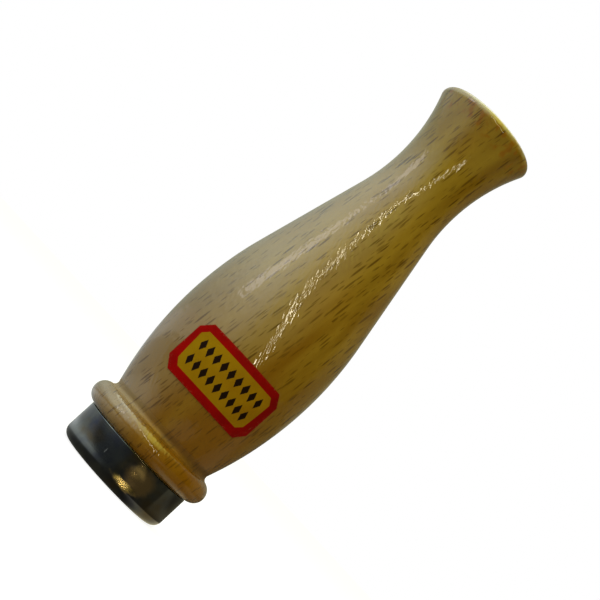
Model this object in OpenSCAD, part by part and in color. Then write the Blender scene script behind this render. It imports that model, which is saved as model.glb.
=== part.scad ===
// Rabbit call: a turned beech barrel that pushes onto a reed insert with a drawn metal end cap.
// Lengths are in millimetres and angles in degrees.
// The call stands on its cap: the origin is the middle of the cap's end face, and +Z runs up
// the call's axis to the flared mouth end. The label faces -Y.

/* [Barrel outside] */
// Radius at the widest point of the bulb
bulb_r = 15.75; // [14.5:0.05:18]
// Height of the widest point above the barrel's foot
bulb_up = 28.2; // [24:0.1:34]
// Radius of the long arc up and down from the widest point
bulb_arc = 72.3; // [58:0.1:90]
// Outer radius of the half-round bead at the foot
bead_r = 14.9; // [13.8:0.05:16.5]
// Radius of the bead's half-round section
bead_round = 2.47; // [1.8:0.01:3]
// Radius of the cove between the bead and the bulb
bead_cove = 0.95; // [0.5:0.05:1.5]
// Radius at the waist of the neck
neck_r = 8.2; // [7:0.05:10]
// Rise from the end of the chamber to the waist
neck_rise = 24.6; // [20:0.1:32]
// Length of the flare from the waist to the mouth end
flare_l = 17.4; // [12:0.1:22]
// Largest radius of the flared rim
rim_r = 11.4; // [10.2:0.05:14]
// Rounding of the rim
rim_round = 1.3; // [0.8:0.05:1.8]
// Height of the crowned mouth end above its rounded rim
crown_h = 0.4; // [0.2:0.05:1]

/* [Barrel inside] */
// Radius of the socket that takes the insert's tenon
socket_r = 9; // [8:0.05:10.5]
// Depth of the socket from the barrel's foot
socket_l = 14; // [11:0.1:18]
// Radius of the air chamber round the reed
chamber_r = 8; // [6.5:0.05:9]
// Length of the chamber from the socket to its drilled end
chamber_l = 36; // [32:0.1:44]
// Full angle of the drill point that ends the chamber
drill_angle = 118; // [90:1:140]
// Radius of the bore that the air is blown through
mouth_bore_r = 3.5; // [2.5:0.05:4.5]
// Rounding where that bore opens in the mouth end
mouth_ease = 0.9; // [0.4:0.05:1.5]

/* [End cap] */
// Outer radius of the drawn cap
cap_r = 12.65; // [11.5:0.05:14]
// Thickness of the cap's sheet metal
cap_wall = 0.6; // [0.4:0.05:1]
// Outer rounding between the cap's end and its side
cap_round = 1.9; // [1.4:0.05:3]
// Radius of the sound hole in the cap's end
sound_hole_r = 5; // [3.5:0.05:6.5]

/* [Insert plug] */
// Height of the plug's shoulder, which carries the barrel, above the cap's end
shoulder_h = 8; // [7:0.05:11]
// How far the shoulder stands proud of the cap's edge
shoulder_proud = 0.15; // [0.05:0.05:0.4]
// Height of the wide sound outlet above the cap's end
outlet_h = 5.4; // [4:0.1:6]
// Radius of the bore between the reed and the outlet
sound_bore_r = 2.8; // [2:0.05:3]
// Radius of the bore that grips the reed
reed_bore_r = 3.5; // [3.2:0.05:4.5]
// Depth to which the tenon's bore grips the reed
reed_grip = 12; // [8:0.1:12.5]
// Chamfer round the top of the tenon
tenon_chamfer = 0.7; // [0.3:0.05:1]

/* [Cork sleeve] */
// Thickness of the cork
cork_t = 1.5; // [1:0.05:2]
// Length of the cork
cork_l = 8.6; // [6:0.1:9.5]
// Height of the cork's lower edge above the shoulder
cork_up = 2.2; // [1:0.1:3]

/* [Reed] */
// Length of the trough that stands free above the tenon
reed_free = 20; // [14:0.1:26]
// Wall of the half-round trough
trough_wall = 0.7; // [0.5:0.05:1]
// Width of the tongue
tongue_w = 6.4; // [6:0.05:6.6]
// Thickness of the tongue
tongue_t = 0.2; // [0.1:0.01:0.35]
// Angle at which the tongue stands off the trough's face
tongue_set = 2.4; // [1.5:0.1:4]
// How far the wedge stands out of the tenon, to be pulled by
wedge_proud = 0.6; // [0.2:0.05:1.5]

/* [Label] */
// Length of the label round the bulb
label_w = 22.3; // [16:0.1:32]
// Height of the label along the axis
label_h = 11.6; // [8:0.1:16]
// Length cut off each corner
label_cut = 2.1; // [1:0.1:4]
// Thickness of the label
label_t = 0.15; // [0.1:0.01:0.3]
// Height of the label's middle above the barrel's foot
label_up = 20.2; // [18:0.1:26]
// Turn of the label's middle from -Y towards +X
label_turn = 5; // [-30:1:30]

/* [Fits] */
// Gap that the glue fills under the cap, the cork and the label
glue_gap = 0.02; // [0.01:0.01:0.05]
// Radial clearance of the cork in the socket
cork_clear = 0.05; // [0.02:0.01:0.1]
// Radial clearance of the bare tenon in the socket
tenon_clear = 0.25; // [0.15:0.01:0.4]
// Clearance between the top of the tenon and the chamber
tenon_short = 0.4; // [0.2:0.05:1]
// Radial clearance of the reed in its bore
reed_clear = 0.03; // [0.01:0.01:0.08]
// Gap at the bending line between the tongue and its clamped root
bend_gap = 0.05; // [0.03:0.01:0.1]

/* [Hidden] */
$fn = 180;

// Length by which a cutting shape runs past the face that it cuts
past = 1;

// Heights along the axis, from the cap's end to the mouth end
foot_z = shoulder_h;
bulb_z = foot_z + bulb_up;
socket_end = foot_z + socket_l;
chamber_end = socket_end + chamber_l;
point_end = chamber_end + (chamber_r - mouth_bore_r) / tan(drill_angle / 2);
neck_z = chamber_end + neck_rise;
mouth_z = neck_z + flare_l;

// Points of the turned outline are [radius, height].
// One hollow arc makes the neck and the flare: it touches the rounded rim, which the crown closes.
rim_mid = [rim_r - rim_round, mouth_z - crown_h - rim_round];
flare_out = rim_mid.x - neck_r;
flare_up = rim_mid.y - neck_z;
neck_arc = (flare_up ^ 2 + flare_out ^ 2 - rim_round ^ 2) / (2 * (rim_round + flare_out));
neck_mid = [neck_r + neck_arc, neck_z];
flare_end = neck_mid + neck_arc * (rim_mid - neck_mid) / norm(rim_mid - neck_mid);
crown_arc = (rim_mid.x ^ 2 + (crown_h + rim_round) ^ 2 - rim_round ^ 2) / (2 * crown_h);
crown_mid = [0, mouth_z - crown_arc];
crown_end = crown_mid + crown_arc * (rim_mid - crown_mid) / norm(rim_mid - crown_mid);
ease_mid = [mouth_bore_r + mouth_ease,
            crown_mid.y + sqrt(crown_arc ^ 2 - (mouth_bore_r + mouth_ease) ^ 2) - mouth_ease];

// A straight taper touches the bulb's shoulder and the neck. Where it has no room, the shoulder's
// arc shrinks until it meets the neck's.
drop = bulb_r - neck_r;
room = neck_z - bulb_z;
shoulder_arc = min(bulb_arc, (room ^ 2 + drop ^ 2) / (2 * drop) - neck_arc);
shoulder_mid = [bulb_r - shoulder_arc, bulb_z];
between = neck_mid - shoulder_mid;
taper_angle = atan2(between.y, between.x)
    - acos(min(1, (shoulder_arc + neck_arc) / norm(between)));
taper_normal = [cos(taper_angle), sin(taper_angle)];
taper_low = shoulder_mid + shoulder_arc * taper_normal;
taper_high = neck_mid - neck_arc * taper_normal;

// The cove touches the bead and the lower half of the bulb.
bead_mid = [bead_r - bead_round, foot_z + bead_round];
bulb_mid = [bulb_r - bulb_arc, bulb_z];
bead_to_bulb = bulb_mid - bead_mid;
bead_dir = bead_to_bulb / norm(bead_to_bulb);
cove_reach = bead_round + bead_cove;
cove_along = (norm(bead_to_bulb) ^ 2 + cove_reach ^ 2 - (bulb_arc + bead_cove) ^ 2)
    / (2 * norm(bead_to_bulb));
cove_out = sqrt(max(0, cove_reach ^ 2 - cove_along ^ 2));
cove_mid = bead_mid + cove_along * bead_dir + cove_out * [bead_dir.y, -bead_dir.x];

// Insert, from the cap inwards
cap_inner_r = cap_r - cap_wall;
cork_outer_r = socket_r - cork_clear;
cork_inner_r = cork_outer_r - cork_t;
tenon_r = socket_r - tenon_clear;
tenon_top = socket_end - tenon_short;
reed_seat = tenon_top - reed_grip;

// Reed: a half-round trough with a spoon tip, its flat face in the plane y = 0, facing -Y
trough_r = reed_bore_r - reed_clear;
spoon_z = tenon_top + reed_free - trough_r;
bend_z = tenon_top + wedge_proud;

// Label, as a flat outline that is projected onto the bulb
label_z = foot_z + label_up;
function chord(along) = bulb_r * sin(along / bulb_r * 180 / PI);
label_x = chord(label_w / 2);
label_cut_x = chord(label_w / 2 - label_cut);
label_y = label_h / 2;
label_cut_y = label_y - label_cut;

// Flat shapes for the turned pieces

// Rectangle from the axis out to a radius
module band(r, low, high) {
    translate([0, low]) square([r, high - low]);
}

// Rectangle from the axis whose outer bottom corner is rounded
module rounded_band(r, low, high, round) {
    band(r - round, low, high);
    band(r, low + round, high);
    translate([r - round, low + round]) circle(round);
}

// Both halves of the bulb, grown outwards by a given thickness
module bulb_outline(grow = 0) {
    intersection() {
        band(bulb_r + grow, foot_z, bulb_z);
        translate(bulb_mid) circle(bulb_arc + grow);
    }
    intersection() {
        band(bulb_r + grow, bulb_z, taper_low.y);
        translate(shoulder_mid) circle(shoulder_arc + grow);
    }
}

// Half-round bead with the cove that leads to the bulb
module bead_outline() {
    band(bead_mid.x, foot_z, bead_mid.y + bead_round);
    translate(bead_mid) circle(bead_round);
    intersection() {
        band(bead_r, foot_z, bulb_z);
        difference() {
            polygon([bead_mid, cove_mid, bulb_mid]);
            translate(cove_mid) circle(bead_cove);
        }
    }
}

// Part of a disc between the directions of two points on its edge
module sector(mid, arc, first, last) {
    intersection() {
        translate(mid) circle(arc);
        polygon([mid, 2 * first - mid, 2 * (first + last) - 3 * mid, 2 * last - mid]);
    }
}

// Taper, hollow neck and flare, up to the rounded rim and the crowned mouth end
module stem_outline() {
    difference() {
        polygon([[0, taper_low.y], taper_low, taper_high, flare_end, rim_mid, crown_end,
                 [0, crown_end.y]]);
        intersection() {
            band(neck_mid.x, taper_high.y, flare_end.y);
            translate(neck_mid) circle(neck_arc);
        }
    }
    sector(rim_mid, rim_round, flare_end, crown_end);
    intersection() {
        band(crown_end.x, crown_end.y, mouth_z);
        translate(crown_mid) circle(crown_arc);
    }
}

// Everything that is bored out of the barrel
module barrel_bores() {
    band(socket_r, foot_z - past, socket_end);
    band(chamber_r, foot_z, chamber_end);
    polygon([[0, chamber_end], [chamber_r, chamber_end], [mouth_bore_r, point_end], [0, point_end]]);
    band(mouth_bore_r, chamber_end, mouth_z + past);
    difference() {
        band(ease_mid.x, ease_mid.y, mouth_z + past);
        translate(ease_mid) circle(mouth_ease);
    }
}

// Half-round rod with a spoon tip, on the +Y side of the plane y = 0
module spoon_rod(r, low) {
    intersection() {
        union() {
            translate([0, 0, low]) cylinder(r = r, h = spoon_z - low);
            translate([0, 0, spoon_z]) sphere(r);
        }
        translate([-r - past, 0, low]) cube([2 * (r + past), r + past, spoon_z + r + past - low]);
    }
}

// Plate of the tongue's thickness on the -Y side of the trough's face, from a flat outline
module tongue_plate() {
    rotate([90, 0, 0]) linear_extrude(tongue_t) children();
}

// Sub-parts

// Turned barrel with its socket, air chamber and mouth bore
module barrel() {
    color("burlywood") rotate_extrude() difference() {
        union() {
            bead_outline();
            bulb_outline();
            stem_outline();
        }
        barrel_bores();
    }
}

// Paper label with cut corners, bent round the bulb
module label() {
    color("goldenrod") intersection() {
        rotate_extrude() difference() {
            bulb_outline(glue_gap + label_t);
            bulb_outline(glue_gap);
        }
        rotate([0, 0, label_turn]) translate([0, 0, label_z]) rotate([90, 0, 0])
            linear_extrude(bulb_r + past) polygon([
                [-label_cut_x, -label_y], [label_cut_x, -label_y],
                [label_x, -label_cut_y], [label_x, label_cut_y],
                [label_cut_x, label_y], [-label_cut_x, label_y],
                [-label_x, label_cut_y], [-label_x, -label_cut_y]
            ]);
    }
}

// Drawn metal cup over the plug's head, pierced by the sound hole
module end_cap() {
    color("dimgray") rotate_extrude() difference() {
        rounded_band(cap_r, 0, shoulder_h - shoulder_proud, cap_round);
        rounded_band(cap_inner_r, cap_wall, shoulder_h, cap_round - cap_wall);
        band(sound_hole_r, -past, cap_wall + past);
    }
}

// Turned plug: a head in the cap, a shoulder for the barrel and a tenon that grips the reed
module insert_plug() {
    color("tan") rotate_extrude() difference() {
        union() {
            rounded_band(cap_inner_r - glue_gap, cap_wall + glue_gap, shoulder_h,
                         cap_round - cap_wall - glue_gap);
            band(tenon_r - tenon_chamfer, shoulder_h, tenon_top);
            band(tenon_r, shoulder_h, tenon_top - tenon_chamfer);
            translate([tenon_r - tenon_chamfer, tenon_top - tenon_chamfer])
                polygon([[0, 0], [tenon_chamfer, 0], [0, tenon_chamfer]]);
        }
        translate([cork_inner_r - glue_gap, shoulder_h + cork_up]) square([socket_r, cork_l]);
        band(sound_hole_r, 0, outlet_h);
        band(sound_bore_r, 0, tenon_top);
        band(reed_bore_r, reed_seat, tenon_top + past);
    }
}

// Cork round the tenon, which holds the barrel by friction
module cork_sleeve() {
    color("peru") rotate_extrude() translate([cork_inner_r, shoulder_h + cork_up])
        square([cork_t, cork_l]);
}

// Half-round brass trough that the tongue beats against
module reed_trough() {
    color("darkgoldenrod") difference() {
        spoon_rod(trough_r, reed_seat);
        spoon_rod(trough_r - trough_wall, reed_seat - past);
    }
}

// Half-round wedge that clamps the tongue's root to the trough
module reed_wedge() {
    color("sienna") intersection() {
        translate([0, 0, reed_seat]) cylinder(r = trough_r, h = bend_z - reed_seat);
        translate([-trough_r, -trough_r - tongue_t, reed_seat])
            cube([2 * trough_r, trough_r, bend_z - reed_seat]);
    }
}

// Clamped end of the brass tongue
module tongue_root() {
    color("gold") tongue_plate() translate([-tongue_w / 2, reed_seat])
        square([tongue_w, bend_z - reed_seat]);
}

// Free end of the tongue, bent up at the wedge's edge and rounded like the trough's tip
module reed_tongue() {
    color("gold") translate([0, 0, bend_z]) rotate([tongue_set, 0, 0]) tongue_plate() union() {
        translate([-tongue_w / 2, bend_gap]) square([tongue_w, spoon_z - bend_z - bend_gap]);
        translate([0, spoon_z - bend_z]) circle(tongue_w / 2);
    }
}

barrel();
label();
end_cap();
insert_plug();
cork_sleeve();
reed_trough();
reed_wedge();
tongue_root();
reed_tongue();
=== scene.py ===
"""Looks of a turned wooden rabbit call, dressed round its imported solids.

Lengths are metres in the solids' own frame. The call stands on its metal cap at z = 0, its axis is Z, the
flared mouth end is on top and the label faces -Y. Azimuths run from -Y towards +X. Left and right are those
of someone who faces the label.
"""

import logging
import math
from dataclasses import dataclass, field, replace
from enum import Enum
from typing import Any

import bmesh
import bpy
from mathutils import Matrix, Vector


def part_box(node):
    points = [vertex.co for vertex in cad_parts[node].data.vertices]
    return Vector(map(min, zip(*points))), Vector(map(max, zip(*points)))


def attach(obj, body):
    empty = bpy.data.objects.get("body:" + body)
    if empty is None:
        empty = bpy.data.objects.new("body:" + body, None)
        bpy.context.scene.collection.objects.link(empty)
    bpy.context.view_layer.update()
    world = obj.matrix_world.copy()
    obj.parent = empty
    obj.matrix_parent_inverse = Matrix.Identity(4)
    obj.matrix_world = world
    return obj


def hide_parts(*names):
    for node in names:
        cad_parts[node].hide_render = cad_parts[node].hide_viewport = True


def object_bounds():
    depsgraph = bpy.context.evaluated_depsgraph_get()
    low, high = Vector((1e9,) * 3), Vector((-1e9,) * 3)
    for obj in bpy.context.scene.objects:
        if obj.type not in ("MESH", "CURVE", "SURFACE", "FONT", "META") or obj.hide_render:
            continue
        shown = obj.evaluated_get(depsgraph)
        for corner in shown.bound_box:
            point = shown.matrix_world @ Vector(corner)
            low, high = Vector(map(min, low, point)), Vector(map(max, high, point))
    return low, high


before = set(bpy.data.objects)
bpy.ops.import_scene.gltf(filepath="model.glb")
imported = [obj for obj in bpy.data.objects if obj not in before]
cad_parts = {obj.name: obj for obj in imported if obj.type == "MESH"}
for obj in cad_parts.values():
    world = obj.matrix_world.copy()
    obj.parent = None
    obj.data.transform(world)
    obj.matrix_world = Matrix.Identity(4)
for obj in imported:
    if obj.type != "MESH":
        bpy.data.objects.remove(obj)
CAD_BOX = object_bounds()

MM = 0.001
LOG = logging.getLogger("rabbit_call")

# Edges round a turned piece, and the angle from which an edge is shaded as a corner
SIDES = 192
SHARP = math.radians(35)
# Points that are closer than this are one
MERGE = 0.0005 * MM

ORIGIN = (0.0, 0.0, 0.0)
UPWARDS = (0.0, 0.0, 1.0)
WHITE = (1.0, 1.0, 1.0)

Colour = tuple[float, float, float]
Triple = tuple[float, float, float]
Mesh = bmesh.types.BMesh
Socket = bpy.types.NodeSocket
# What a node's input gets: another node's output or a plain value
Feed = Any


class Body(Enum):
    """The bodies that move on their own."""

    INSERT = "insert"
    BARREL = "barrel"
    TONGUE = "tongue"


class Slot(Enum):
    """The record's material slots."""

    BEECH = "beech"
    LABEL = "label_paper"
    CAP = "cap_metal"
    PLUG = "plug_wood"
    CORK = "cork"
    BRASS = "brass"
    WEDGE = "wedge_wood"
    TONGUE = "tongue_brass"


# Mesh tools


def flat(across: float, up: float) -> Vector:
    """A point of an outline, as its distance from the axis and its height."""
    return Vector((across, up))


def mended(mesh: Mesh) -> Mesh:
    """Closes seams and poles and turns the faces outwards.

    Args:
        mesh: The mesh, which is changed in place.

    Returns:
        The same mesh.
    """
    bmesh.ops.remove_doubles(mesh, verts=mesh.verts, dist=MERGE)
    bmesh.ops.dissolve_degenerate(mesh, edges=mesh.edges, dist=MERGE)
    bmesh.ops.recalc_face_normals(mesh, faces=mesh.faces)
    return mesh


def eased(mesh: Mesh, width: float, segments: int = 3) -> Mesh:
    """Rounds every corner edge of a mesh a little.

    Args:
        mesh: The mesh, which is changed in place.
        width: How far the rounding reaches from each edge.
        segments: How many faces the rounding has across.

    Returns:
        The same mesh.
    """
    corners = [edge for edge in mesh.edges if edge.calc_face_angle(0.0) > SHARP]
    bmesh.ops.bevel(
        mesh, geom=corners, offset=width, offset_type="OFFSET", segments=segments, profile=0.5,
        affect="EDGES", clamp_overlap=True, material=-1,
    )
    return mesh


class Outline:
    """A wire in the XZ plane, drawn on from its last point and then turned about Z or filled."""

    def __init__(self, start: Vector) -> None:
        """Starts the wire.

        Args:
            start: Its first point.
        """
        self.mesh = bmesh.new()
        self.first = self.mesh.verts.new((start.x, 0.0, start.y))
        self.last = self.first

    def line_to(self, end: Vector, parts: int = 1) -> "Outline":
        """Draws a straight stretch.

        Args:
            end: Where the stretch ends.
            parts: How many edges it has.

        Returns:
            This outline, to draw on from.
        """
        step = (Vector((end.x, 0.0, end.y)) - self.last.co) / parts
        for _ in range(parts):
            grown = bmesh.ops.extrude_vert_indiv(self.mesh, verts=[self.last])
            self.last = grown["verts"][0]
            bmesh.ops.translate(self.mesh, verts=[self.last], vec=step)
        return self

    def arc_to(self, mid: Vector, end: Vector, parts: int) -> "Outline":
        """Draws a round stretch, the short way round.

        Args:
            mid: The arc's middle point.
            end: Where the arc ends.
            parts: How many edges it has.

        Returns:
            This outline, to draw on from.
        """
        begun = self.last.co - Vector((mid.x, 0.0, mid.y))
        turn = math.atan2(end.y - mid.y, end.x - mid.x) - math.atan2(begun.z, begun.x)
        turn = (turn + math.pi) % math.tau - math.pi
        swept = bmesh.ops.spin(
            self.mesh, geom=[self.last], cent=(mid.x, 0.0, mid.y), axis=(0.0, -1.0, 0.0),
            angle=turn, steps=parts,
        )
        self.last = next(part for part in swept["geom_last"] if isinstance(part, bmesh.types.BMVert))
        return self

    def close(self) -> None:
        """Joins the last point to the first."""
        self.mesh.edges.new((self.last, self.first))

    def turned(self) -> Mesh:
        """Closes the outline and turns it once round Z.

        Returns:
            The turned piece's mesh.
        """
        self.close()
        wire = [*self.mesh.verts, *self.mesh.edges]
        bmesh.ops.spin(
            self.mesh, geom=wire, cent=ORIGIN, axis=UPWARDS, angle=math.tau, steps=SIDES, use_merge=True,
        )
        return mended(self.mesh)

    def swept(self, start: float, sweep: float, steps: int) -> Mesh:
        """Turns the open wire through part of a circle, into a sheet.

        Args:
            start: The angle at which the sheet begins, from +X towards +Y.
            sweep: The angle that it goes on for.
            steps: How many faces it has across.

        Returns:
            The sheet's mesh.
        """
        turn = Matrix.Rotation(start, 3, "Z")
        bmesh.ops.rotate(self.mesh, verts=self.mesh.verts, cent=ORIGIN, matrix=turn)
        wire = [*self.mesh.verts, *self.mesh.edges]
        bmesh.ops.spin(self.mesh, geom=wire, cent=ORIGIN, axis=UPWARDS, angle=sweep, steps=steps)
        return mended(self.mesh)

    def filled(self) -> bmesh.types.BMFace:
        """Closes the outline and fills it.

        Returns:
            The one face that fills it.
        """
        self.close()
        made = bmesh.ops.contextual_create(self.mesh, geom=[*self.mesh.edges])
        return made["faces"][0]

    def half_turned(self, steps: int) -> Mesh:
        """Fills the outline and turns it half way round Z, from +X over +Y, into a solid.

        Args:
            steps: How many faces the half turn has.

        Returns:
            The solid's mesh.
        """
        face = self.filled()
        whole = [face, *face.edges, *face.verts]
        bmesh.ops.spin(self.mesh, geom=whole, cent=ORIGIN, axis=UPWARDS, angle=math.pi, steps=steps)
        return mended(self.mesh)

    def plate(self, push: Vector) -> Mesh:
        """Fills the outline and pushes the face out into a plate.

        Args:
            push: The way and the distance that the face is pushed.

        Returns:
            The plate's mesh.
        """
        pushed = bmesh.ops.extrude_face_region(self.mesh, geom=[self.filled()])
        moved = [part for part in pushed["geom"] if isinstance(part, bmesh.types.BMVert)]
        bmesh.ops.translate(self.mesh, verts=moved, vec=push)
        return mended(self.mesh)


@dataclass(frozen=True)
class Seat:
    """The solid that a new piece stands for, its body, and the name of a material slot."""

    solid: str
    body: Body
    slot: Slot

    def fit(self, mesh: Mesh, name: str, finish: bpy.types.Material) -> bpy.types.Object:
        """Makes an object of a mesh and puts it in the solid's place.

        Args:
            mesh: The finished mesh, which is freed.
            name: The piece's name.
            finish: Its material.

        Returns:
            The new object.
        """
        for face in mesh.faces:
            face.smooth = True
        for edge in mesh.edges:
            edge.smooth = edge.calc_face_angle(0.0) < SHARP
        data = bpy.data.meshes.new(name)
        mesh.to_mesh(data)
        mesh.free()
        data.materials.append(finish)
        piece = bpy.data.objects.new(name, data)
        bpy.context.scene.collection.objects.link(piece)
        level = piece.modifiers.new("even_shading", "WEIGHTED_NORMAL")
        level.keep_sharp = True
        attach(piece, self.body.value)
        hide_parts(self.solid)
        LOG.info("%s stands for %s on %s, %d faces", name, self.solid, self.body.value, len(data.polygons))
        return piece


# Node tools


@dataclass(frozen=True)
class Span:
    """Two values, and what a ramp gives at each of them and past them."""

    low: float
    high: float
    to_low: float = 0.0
    to_high: float = 1.0

    def moved(self, by: float) -> "Span":
        """The same ramp between values that lie further along."""
        return replace(self, low=self.low + by, high=self.high + by)


class Sheet:
    """Adds and links the nodes of one material, group or world."""

    # Sockets of a colour mix
    FIRST_COLOUR = 6
    SECOND_COLOUR = 7
    COLOUR_RESULT = 2
    # Where a spot begins to fade and where it ends, as shares of its half width
    SPOT_INSIDE = 0.45
    SPOT_OUTSIDE = 1.1
    # The value that a noise swings about
    NOISE_MIDDLE = 0.5

    def __init__(self, tree: bpy.types.NodeTree) -> None:
        """Takes the node tree that is worked on."""
        self.tree = tree

    def feed(self, socket: Socket, value: Feed) -> None:
        """Links a socket to another one, or sets its value.

        Args:
            socket: The input.
            value: What it gets. A colour is given without its alpha.
        """
        if isinstance(value, Socket):
            self.tree.links.new(value, socket)
        elif socket.type == "RGBA":
            socket.default_value = (*value, 1.0)
        else:
            socket.default_value = value

    def add(self, kind: str, feeds: dict[Any, Feed] | None = None, **settings: Any) -> bpy.types.Node:
        """Adds a node.

        Args:
            kind: The node's type.
            feeds: What its inputs get, by name or number.
            **settings: Its other properties.

        Returns:
            The new node.
        """
        node = self.tree.nodes.new(kind)
        for name, value in settings.items():
            setattr(node, name, value)
        for name, value in (feeds or {}).items():
            self.feed(node.inputs[name], value)
        return node

    def math(self, operation: str, first: Feed, second: Feed = 0.0, third: Feed = 0.0) -> Socket:
        """The result of a sum with up to three numbers."""
        return self.add("ShaderNodeMath", {0: first, 1: second, 2: third}, operation=operation).outputs[0]

    def plus(self, first: Feed, second: Feed) -> Socket:
        """Two numbers added up."""
        return self.math("ADD", first, second)

    def minus(self, first: Feed, second: Feed) -> Socket:
        """A number less another one."""
        return self.math("SUBTRACT", first, second)

    def times(self, first: Feed, second: Feed) -> Socket:
        """A number times another one."""
        return self.math("MULTIPLY", first, second)

    def scaled(self, value: Feed, factor: Feed, added: Feed) -> Socket:
        """A number times a factor, and another number added to that."""
        return self.math("MULTIPLY_ADD", value, factor, added)

    def greater(self, first: Feed, second: Feed) -> Socket:
        """The greater of two numbers."""
        return self.math("MAXIMUM", first, second)

    def vector(self, operation: str, first: Feed, second: Feed) -> Socket:
        """The result of a sum with two vectors."""
        return self.add("ShaderNodeVectorMath", {0: first, 1: second}, operation=operation).outputs[0]

    def length(self, vector: Feed) -> Socket:
        """The length of a vector."""
        return self.add("ShaderNodeVectorMath", {0: vector}, operation="LENGTH").outputs["Value"]

    def from_axis(self, across: Feed, deep: Feed) -> Socket:
        """The distance from the Z axis."""
        return self.length(self.join(across, deep, 0.0))

    def ramp(self, value: Feed, low: Feed, high: Feed, to_low: float = 0.0, to_high: float = 1.0) -> Socket:
        """Eases a value from one span into another.

        Args:
            value: What is mapped.
            low: The value that gives to_low.
            high: The value that gives to_high.
            to_low: The result at low and before it.
            to_high: The result at high and past it.

        Returns:
            The mapped value.
        """
        feeds = {"Value": value, "From Min": low, "From Max": high, "To Min": to_low, "To Max": to_high}
        return self.add("ShaderNodeMapRange", feeds, interpolation_type="SMOOTHSTEP").outputs["Result"]

    def share(self, value: Feed, span: Span) -> Socket:
        """What the ramp over a span gives for a value."""
        return self.ramp(value, span.low, span.high, span.to_low, span.to_high)

    def mix(self, share: Feed, first: Feed, second: Feed) -> Socket:
        """The colour between two others."""
        feeds = {0: share, self.FIRST_COLOUR: first, self.SECOND_COLOUR: second}
        return self.add("ShaderNodeMix", feeds, data_type="RGBA").outputs[self.COLOUR_RESULT]

    def noise(self, vector: Feed, grain: Triple, detail: float) -> Socket:
        """Soft noise whose blobs have a given size along each axis.

        Args:
            vector: The place, in metres.
            grain: The size of a blob along X, Y and Z, in metres.
            detail: How many finer layers are added.

        Returns:
            The noise, from 0 to 1.
        """
        place = self.vector("DIVIDE", vector, grain)
        return self.add("ShaderNodeTexNoise", {"Vector": place, "Scale": 1.0, "Detail": detail}).outputs[0]

    def centred(self, noise: Feed) -> Socket:
        """A noise that swings about 0."""
        return self.minus(noise, self.NOISE_MIDDLE)

    def place(self) -> Socket:
        """The place on the piece, in metres."""
        return self.add("ShaderNodeTexCoord").outputs["Object"]

    def split(self, vector: Feed) -> tuple[Socket, ...]:
        """The X, Y and Z of a vector."""
        return tuple(self.add("ShaderNodeSeparateXYZ", {0: vector}).outputs)

    def join(self, across: Feed, deep: Feed, up: Feed) -> Socket:
        """A vector from its X, Y and Z."""
        return self.add("ShaderNodeCombineXYZ", {0: across, 1: deep, 2: up}).outputs[0]

    def spot(self, across: Feed, up: Feed, half_w: float, half_h: float, ragged: Feed = 0.0) -> Socket:
        """A soft oval mask round the place where across and up are both 0.

        Args:
            across: The distance to one side, in metres.
            up: The distance upwards, in metres.
            half_w: Half the spot's width.
            half_h: Half its height.
            ragged: What is added to the distance, so that the edge isn't smooth.

        Returns:
            The mask, 1 in the middle of the spot.
        """
        place = self.join(self.math("DIVIDE", across, half_w), self.math("DIVIDE", up, half_h), 0.0)
        return self.ramp(self.plus(self.length(place), ragged), self.SPOT_OUTSIDE, self.SPOT_INSIDE)

    def band(self, up: Feed, middle: float, half_h: float) -> Socket:
        """A soft mask all round a turned piece, by the height of its middle and half its own height."""
        return self.spot(0.0, self.minus(up, middle), 1.0, half_h)

    def bump(self, shader: bpy.types.Node, height: Feed, depth: float) -> None:
        """Gives a shader a relief, whose heights are measured in depths."""
        relief = self.add("ShaderNodeBump", {"Height": height, "Distance": depth})
        self.feed(shader.inputs["Normal"], relief.outputs[0])

    def mirrored(self, path: bpy.types.NodeOutputs) -> Socket:
        """Whether a light path comes from a mirror or through glass."""
        return self.greater(path["Is Glossy Ray"], path["Is Transmission Ray"])


class Finish:
    """Starts a material with one Principled shader."""

    name: str

    def begin(self) -> tuple[bpy.types.Material, Sheet, bpy.types.Node]:
        """Starts the material.

        Returns:
            The material, the sheet of its nodes and its shader.
        """
        material = bpy.data.materials.new(self.name)
        material.use_nodes = True
        return material, Sheet(material.node_tree), material.node_tree.nodes["Principled BSDF"]


class Pattern:
    """A shader node group that reads a place, is built once and is put in several finishes."""

    name: str
    outputs: tuple[str, ...]

    def __init__(self) -> None:
        """Builds the group with its sockets."""
        self.tree = bpy.data.node_groups.new(self.name, "ShaderNodeTree")
        self.tree.interface.new_socket(name="Place", in_out="INPUT", socket_type="NodeSocketVector")
        for label in self.outputs:
            self.tree.interface.new_socket(name=label, in_out="OUTPUT", socket_type="NodeSocketFloat")
        sheet = Sheet(self.tree)
        given = sheet.add("NodeGroupInput").outputs
        sheet.add("NodeGroupOutput", self.draw(sheet, given["Place"]))

    def draw(self, sheet: Sheet, place: Socket) -> dict[str, Feed]:
        """Adds the group's nodes.

        Args:
            sheet: Where the nodes go.
            place: The place that the group reads, in metres.

        Returns:
            What each output gets.
        """
        raise NotImplementedError

    def use(self, sheet: Sheet, place: Feed) -> bpy.types.NodeOutputs:
        """The outputs of the group, put in a finish."""
        return sheet.add("ShaderNodeGroup", {"Place": place}, node_tree=self.tree).outputs


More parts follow.
